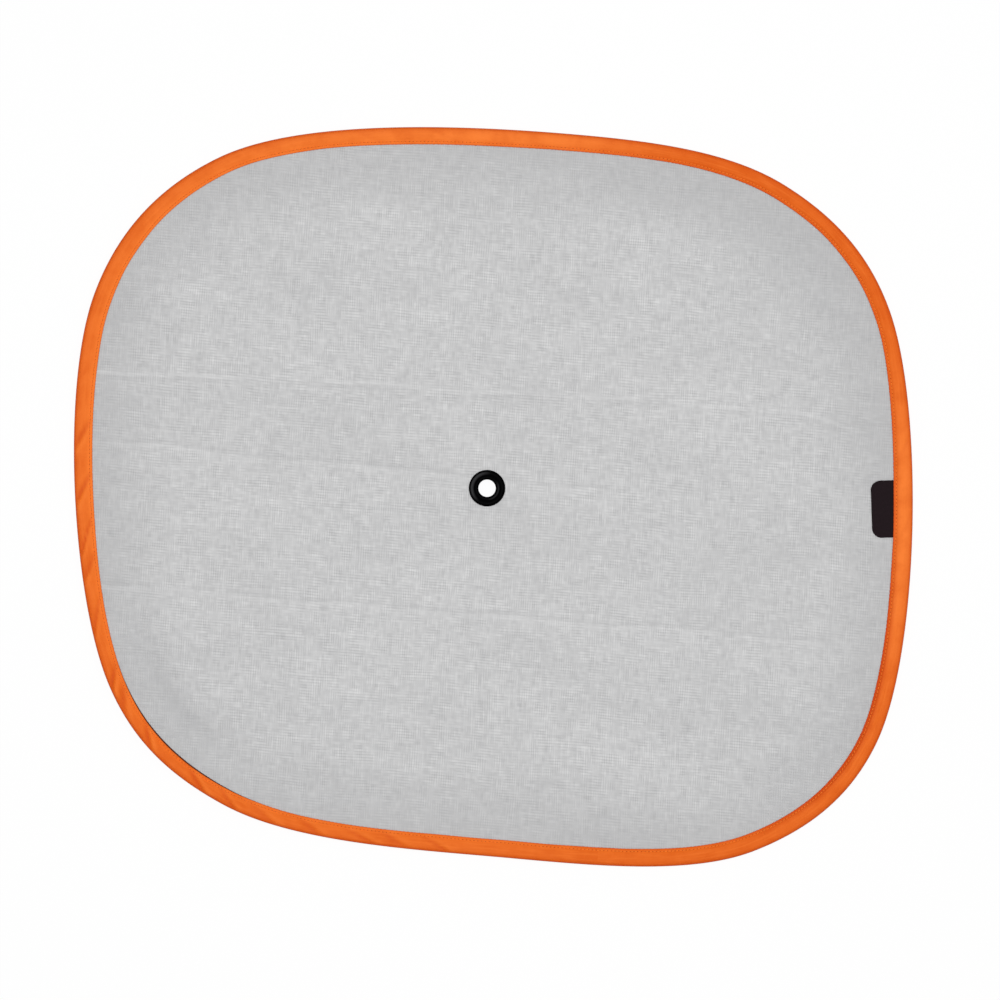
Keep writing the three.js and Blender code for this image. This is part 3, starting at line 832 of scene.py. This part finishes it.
def stitch_tree(material):
    """Geometry Nodes: one lockstitch on each point of the seam, along the seam, at a slight slant."""
    tree = bpy.data.node_groups.new("seam_stitches", "GeometryNodeTree")
    face = tree.interface
    face.new_socket("Seam", in_out="INPUT", socket_type="NodeSocketGeometry")
    for name in ("Stitch Length", "Thread Radius", "Arch", "Slant", "Slant Spread"):
        face.new_socket(name, in_out="INPUT", socket_type="NodeSocketFloat")
    face.new_socket("Stitches", in_out="OUTPUT", socket_type="NodeSocketGeometry")
    nodes, links = tree.nodes, tree.links
    given = nodes.new("NodeGroupInput")
    result = nodes.new("NodeGroupOutput")

    def half_length(sign):
        made = nodes.new("ShaderNodeMath")
        made.operation = "MULTIPLY"
        made.inputs[1].default_value = sign / 2
        links.new(given.outputs["Stitch Length"], made.inputs[0])
        return made.outputs[0]

    def end_of_stitch(sign):
        under = nodes.new("ShaderNodeMath")
        under.operation = "MULTIPLY"
        under.inputs[1].default_value = -1.0
        links.new(given.outputs["Arch"], under.inputs[0])
        point = nodes.new("ShaderNodeCombineXYZ")
        links.new(half_length(sign), point.inputs["X"])
        links.new(under.outputs[0], point.inputs["Z"])
        return point.outputs[0]

    top = nodes.new("ShaderNodeCombineXYZ")
    links.new(given.outputs["Arch"], top.inputs["Z"])
    course = nodes.new("GeometryNodeCurveQuadraticBezier")
    course.inputs["Resolution"].default_value = 5
    links.new(end_of_stitch(-1.0), course.inputs["Start"])
    links.new(top.outputs[0], course.inputs["Middle"])
    links.new(end_of_stitch(1.0), course.inputs["End"])
    section = nodes.new("GeometryNodeCurvePrimitiveCircle")
    section.inputs["Resolution"].default_value = 6
    links.new(given.outputs["Thread Radius"], section.inputs["Radius"])
    thread = nodes.new("GeometryNodeCurveToMesh")
    thread.inputs["Fill Caps"].default_value = True
    links.new(course.outputs[0], thread.inputs["Curve"])
    links.new(section.outputs[0], thread.inputs["Profile Curve"])

    seam = nodes.new("GeometryNodeMeshToCurve")
    links.new(given.outputs["Seam"], seam.inputs["Mesh"])
    tangent = nodes.new("GeometryNodeInputTangent")
    turn = nodes.new("FunctionNodeAlignRotationToVector")
    turn.axis = "X"
    turn.pivot_axis = "Z"
    links.new(tangent.outputs[0], turn.inputs["Vector"])
    chance = nodes.new("FunctionNodeRandomValue")
    chance.data_type = "FLOAT"
    chance.inputs["Seed"].default_value = 7
    chance.inputs[2].default_value = -1.0
    chance.inputs[3].default_value = 1.0
    slant = nodes.new("ShaderNodeMath")
    slant.operation = "MULTIPLY_ADD"
    links.new(chance.outputs[1], slant.inputs[0])
    links.new(given.outputs["Slant Spread"], slant.inputs[1])
    links.new(given.outputs["Slant"], slant.inputs[2])
    about = nodes.new("ShaderNodeCombineXYZ")
    links.new(slant.outputs[0], about.inputs["Z"])
    slanted = nodes.new("FunctionNodeEulerToRotation")
    links.new(about.outputs[0], slanted.inputs[0])
    rotate = nodes.new("FunctionNodeRotateRotation")
    rotate.rotation_space = "LOCAL"
    links.new(turn.outputs[0], rotate.inputs[0])
    links.new(slanted.outputs[0], rotate.inputs[1])

    place = nodes.new("GeometryNodeInstanceOnPoints")
    links.new(seam.outputs[0], place.inputs["Points"])
    links.new(thread.outputs[0], place.inputs["Instance"])
    links.new(rotate.outputs[0], place.inputs["Rotation"])
    real = nodes.new("GeometryNodeRealizeInstances")
    links.new(place.outputs[0], real.inputs[0])
    shade = nodes.new("GeometryNodeSetShadeSmooth")
    links.new(real.outputs[0], shade.inputs[0])
    paint = nodes.new("GeometryNodeSetMaterial")
    paint.inputs["Material"].default_value = material
    links.new(shade.outputs[0], paint.inputs[0])
    links.new(paint.outputs[0], result.inputs[0])
    return tree


def make_stitches(name, tree, path, sizes):
    """The stitches along a closed path, as a plain mesh."""
    mesh = bpy.data.meshes.new(name + "_path")
    count = len(path)
    mesh.from_pydata(path.tolist(), [(k, (k + 1) % count) for k in range(count)], [])
    guide = bpy.data.objects.new(name + "_path", mesh)
    bpy.context.collection.objects.link(guide)
    modifier = guide.modifiers.new("stitches", "NODES")
    modifier.node_group = tree
    for item in tree.interface.items_tree:
        if item.item_type == "SOCKET" and item.in_out == "INPUT" and item.name in sizes:
            modifier[item.identifier] = sizes[item.name]
    made = bpy.data.meshes.new_from_object(guide.evaluated_get(bpy.context.evaluated_depsgraph_get()))
    made.name = name
    bpy.data.objects.remove(guide)
    stitches = bpy.data.objects.new(name, made)
    bpy.context.collection.objects.link(stitches)
    return stitches


def seam_path(tape, insets, heights, column, side):
    """Where the stitches of one face lie: one point for each stitch, just on the tape."""
    middles = slice(0, tape.count, STATIONS_PER_STITCH)
    off = side * (TAPE_THICKNESS / 2 + 0.45 * THREAD_RADIUS)
    placed = tape.place(insets, heights + off)
    return placed[middles, column]


# The label

LABEL_CORNER = 5.0 * MM
LABEL_BORDER = 1.3 * MM
LABEL_TURN = math.radians(6.0)
LABEL_RAISED = 0.85 * MM
LABEL_SHORTER = 0.4 * MM
LABEL_SIDE_STEPS = 8
LABEL_CORNER_STEPS = 10


def label_outline(inset):
    """The label's edge, moved in: a rectangle whose two corners on the mesh are round."""
    left, low = LABEL_LOW[0] + inset, LABEL_LOW[1] + inset + LABEL_SHORTER
    right, high = LABEL_HIGH[0] - inset, LABEL_HIGH[1] - inset - LABEL_SHORTER
    radius = max(LABEL_CORNER - inset, 0.3 * MM)
    points = []
    for step in range(LABEL_SIDE_STEPS + 1):
        points.append((right, low + (high - low) * step / LABEL_SIDE_STEPS))
    for start, middle in ((90, (left + radius, high - radius)), (180, (left + radius, low + radius))):
        for step in range(LABEL_CORNER_STEPS + 1):
            turn = math.radians(start + 90 * step / LABEL_CORNER_STEPS)
            points.append((middle[0] + radius * math.cos(turn), middle[1] + radius * math.sin(turn)))
    return points


def make_label():
    """A bare woven label with a plain raised border, lying on the mesh with its end in the seam."""
    bottom = MIDDLE_HEIGHT + MESH_THICKNESS / 2 + 0.04 * MM
    # Each level's inset from the outline and height above the mesh, from the underside to the top.
    levels = (
        (3.0 * MM, 0.02 * MM),
        (0.15 * MM, 0.0),
        (0.0, 0.12 * MM),
        (0.05 * MM, 0.34 * MM),
        (0.30 * MM, 0.46 * MM),
        (LABEL_BORDER - 0.25 * MM, 0.45 * MM),
        (LABEL_BORDER, 0.32 * MM),
        (LABEL_BORDER + 0.3 * MM, 0.30 * MM),
        (3.0 * MM, 0.33 * MM),
    )
    rings = []
    for inset, height in levels:
        rings.append([(x, y, bottom + height) for x, y in label_outline(inset)])
    count = len(rings[0])
    points = [point for ring in rings for point in ring]
    faces = []
    for level in range(len(rings) - 1):
        for k in range(count):
            after = (k + 1) % count
            faces.append((
                level * count + k,
                level * count + after,
                (level + 1) * count + after,
                (level + 1) * count + k,
            ))
    for level in (0, len(rings) - 1):
        middle = np.mean(rings[level], axis=0)
        points.append(tuple(middle))
        centre = len(points) - 1
        for k in range(count):
            pair = (level * count + k, level * count + (k + 1) % count)
            faces.append((*(pair[::-1] if level == 0 else pair), centre))
    points = np.array(points)
    pivot = (LABEL_LOW[:2] + LABEL_HIGH[:2]) / 2
    x, y = points[:, 0] - pivot[0], points[:, 1] - pivot[1]
    points[:, 0] = pivot[0] + x * math.cos(LABEL_TURN) - y * math.sin(LABEL_TURN)
    points[:, 1] = pivot[1] + x * math.sin(LABEL_TURN) + y * math.cos(LABEL_TURN) + LABEL_RAISED
    sag = smooth_step(points[:, 0], LABEL_LOW[0], LABEL_LOW[0] + 12 * MM)
    points[:, 2] += 0.10 * MM * (1.0 - sag) * bell(points[:, 1], LABEL_HIGH[1], 10 * MM)
    return make_mesh("woven_label", points, faces, label_material())


# The eyelet

def make_eyelet(material):
    """The barrel through the cloth, the flange's rounded rim and crown, and the funnel down to the bore."""
    bore, barrel, flange = 4.5 * MM, 5.3 * MM, 9.5 * MM
    seat = EYELET_HIGH[2] - 1.2 * MM
    top = EYELET_HIGH[2]
    end = EYELET_LOW[2]
    profile = [(bore, end + 0.15 * MM), (bore + 0.15 * MM, end)]
    profile += [(barrel - 0.1 * MM, end), (barrel, end + 0.1 * MM)]
    profile += [(barrel, seat - 0.15 * MM), (barrel + 0.15 * MM, seat)]
    profile += [(flange - 0.12 * MM, seat)]
    profile += arc((flange - 0.17 * MM, seat + 0.17 * MM), (0.17 * MM, 0.17 * MM), -70, 60, 5)
    profile += arc((8.05 * MM, seat + 0.25 * MM), (1.28 * MM, top - seat - 0.25 * MM), 20, 90, 8)
    profile += [(7.55 * MM, top - 0.04 * MM), (7.05 * MM, top - 0.16 * MM), (6.45 * MM, top - 0.36 * MM)]
    profile += [(6.05 * MM, top - 0.50 * MM), (5.85 * MM, top - 0.50 * MM), (5.65 * MM, top - 0.46 * MM)]
    profile += arc((5.45 * MM, top - 1.46 * MM), (0.95 * MM, 1.0 * MM), 90, 180, 8)
    profile += [(bore, seat - 0.9 * MM)]
    return turned_piece("eyelet_flange", profile, EYELET_CENTRE, EYELET_STEPS, material)


def make_back_ring(material):
    """The flat ring behind the cloth, with a rounded outer edge."""
    low, high = (np.array(corner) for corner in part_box("eyelet_back_ring"))
    outer, inner = (high[0] - low[0]) / 2, 5.55 * MM
    bottom, top = low[2], high[2]
    profile = [(inner, bottom + 0.2 * MM), (inner + 0.2 * MM, bottom)]
    profile += [(outer - 1.2 * MM, bottom)]
    profile += arc((outer - 0.5 * MM, bottom + 0.5 * MM), (0.5 * MM, 0.5 * MM), -90, 0, 6)
    profile += [(outer, top - 0.1 * MM), (outer - 0.1 * MM, top)]
    profile += [(inner + 0.1 * MM, top), (inner, top - 0.1 * MM)]
    return turned_piece("eyelet_washer", profile, EYELET_CENTRE, EYELET_STEPS, material)


# Floor, light and camera

FLOOR_HALF = 3.0
FLOOR_HEIGHT = -0.2 * MM
FLOOR_GLOW = 0.88
AMBIENT = 0.38
KEY_PLACE = (-0.08, 0.04, 1.75)
KEY_SIZE = 0.7
KEY_POWER = 20.5
SIDE_PLACE = (1.10, 0.60, 1.20)
SIDE_SIZE = 0.5
SIDE_POWER = 2.5


def floor_material():
    """White to the eye, and still darker where the shade's shadow falls."""
    nodes = Nodes("white_floor")
    speckle = nodes.noise(nodes.here(), 3.0, 2.0)
    colour = nodes.mix(speckle, (0.90, 0.90, 0.90, 1.0), (0.92, 0.92, 0.92, 1.0))
    paint = nodes.add("ShaderNodeBsdfDiffuse", {"Color": colour})
    glow = nodes.add("ShaderNodeEmission", {"Color": (1.0, 1.0, 1.0, 1.0), "Strength": 1.0})
    ray = nodes.add("ShaderNodeLightPath")
    seen = nodes.math("MAXIMUM", ray.outputs["Is Camera Ray"], ray.outputs["Is Glossy Ray"])
    seen = nodes.math("MAXIMUM", seen, ray.outputs["Is Transmission Ray"])
    share = nodes.math("MULTIPLY", seen, FLOOR_GLOW)
    mixed = nodes.add("ShaderNodeMixShader")
    nodes.join(share, mixed.inputs[0])
    nodes.join(paint.outputs[0], mixed.inputs[1])
    nodes.join(glow.outputs[0], mixed.inputs[2])
    nodes.join(mixed.outputs[0], nodes.output.inputs[0])
    return nodes.material


def make_floor():
    mesh = bpy.data.meshes.new("floor")
    corners = [(-1, -1), (1, -1), (1, 1), (-1, 1)]
    points = [(x * FLOOR_HALF, y * FLOOR_HALF, FLOOR_HEIGHT) for x, y in corners]
    mesh.from_pydata(points, [], [(0, 1, 2, 3)])
    mesh.materials.append(floor_material())
    floor = bpy.data.objects.new("floor", mesh)
    bpy.context.collection.objects.link(floor)
    return floor


def set_world():
    """White where the camera sees it, and a dimmer light on the shade."""
    world = bpy.data.worlds.new("white_room")
    bpy.context.scene.world = world
    world.use_nodes = True
    tree = world.node_tree
    background = tree.nodes["Background"]
    background.inputs["Color"].default_value = (1.0, 1.0, 1.0, 1.0)
    ray = tree.nodes.new("ShaderNodeLightPath")
    seen = ray.outputs["Is Camera Ray"]
    for name in ("Is Glossy Ray", "Is Transmission Ray"):
        either = tree.nodes.new("ShaderNodeMath")
        either.operation = "MAXIMUM"
        tree.links.new(seen, either.inputs[0])
        tree.links.new(ray.outputs[name], either.inputs[1])
        seen = either.outputs[0]
    strength = tree.nodes.new("ShaderNodeMapRange")
    strength.inputs["To Min"].default_value = AMBIENT
    strength.inputs["To Max"].default_value = 1.0
    tree.links.new(seen, strength.inputs["Value"])
    tree.links.new(strength.outputs[0], background.inputs["Strength"])


def add_lamp(name, place, size, power):
    """A round lamp that faces the middle of the shade."""
    lamp = bpy.data.lights.new(name, "AREA")
    lamp.shape = "DISK"
    lamp.size = size
    lamp.energy = power
    holder = bpy.data.objects.new(name, lamp)
    bpy.context.collection.objects.link(holder)
    holder.location = place
    reach = math.hypot(place[0], place[1])
    holder.rotation_euler = (0.0, math.atan2(reach, place[2]), math.atan2(place[1], place[0]))


def set_camera():
    """Straight above the shade, as far off as its lens needs, and turned as the photo is."""
    data = bpy.data.cameras.new("camera")
    data.lens = CAMERA_LENS
    data.sensor_width = CAMERA_SENSOR
    camera = bpy.data.objects.new("camera", data)
    bpy.context.collection.objects.link(camera)
    distance = PHOTO_WIDTH * CAMERA_LENS / CAMERA_SENSOR
    camera.location = (*PHOTO_CENTRE, MIDDLE_HEIGHT + distance)
    camera.rotation_euler = (0.0, 0.0, PHOTO_TURN)
    bpy.context.scene.camera = camera


def dress(piece, slot, *nodes):
    """Puts a piece on its body in place of the CAD nodes that it stands for."""
    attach(piece, "root")
    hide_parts(*nodes)


def main():
    set_camera()
    set_world()
    add_lamp("key_lamp", KEY_PLACE, KEY_SIZE, KEY_POWER)
    add_lamp("side_lamp", SIDE_PLACE, SIDE_SIZE, SIDE_POWER)
    bpy.context.scene.view_settings.view_transform = "Standard"
    make_floor()

    cloth, cloth_size, cloth_area = make_mesh_cloth()
    dress(cloth, "grey_mesh", "mesh_panel")

    tape = Tape()
    binding, tape_width = make_binding(tape)
    dress(binding, "orange_tape", "edge_binding")
    insets, heights = tape.section()
    tree = stitch_tree(thread_material())
    sizes = {
        "Stitch Length": STITCH_LENGTH,
        "Thread Radius": THREAD_RADIUS,
        "Arch": STITCH_ARCH,
        "Slant": STITCH_SLANT,
        "Slant Spread": STITCH_SLANT_SPREAD,
    }
    path = seam_path(tape, insets, heights, SEAM_COLUMN, 1)
    front = make_stitches("front_stitches", tree, path, sizes)
    sizes["Arch"] = -STITCH_ARCH
    path = seam_path(tape, insets, heights, BACK_SEAM_COLUMN, -1)
    back = make_stitches("back_stitches", tree, path, sizes)
    dress(front, "orange_thread", "seam_thread_front")
    dress(back, "orange_thread", "seam_thread_back")

    label = make_label()
    dress(label, "black_label", "side_label")
    plastic = eyelet_material()
    flange = make_eyelet(plastic)
    dress(flange, "black_eyelet", "eyelet_front")
    washer = make_back_ring(plastic)
    dress(washer, "black_eyelet", "eyelet_back_ring")

    steel = steel_material()
    for name in ("hoop_wire", "wire_joint_sleeve"):
        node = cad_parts[name]
        node.data.materials.clear()
        node.data.materials.append(steel)


main()
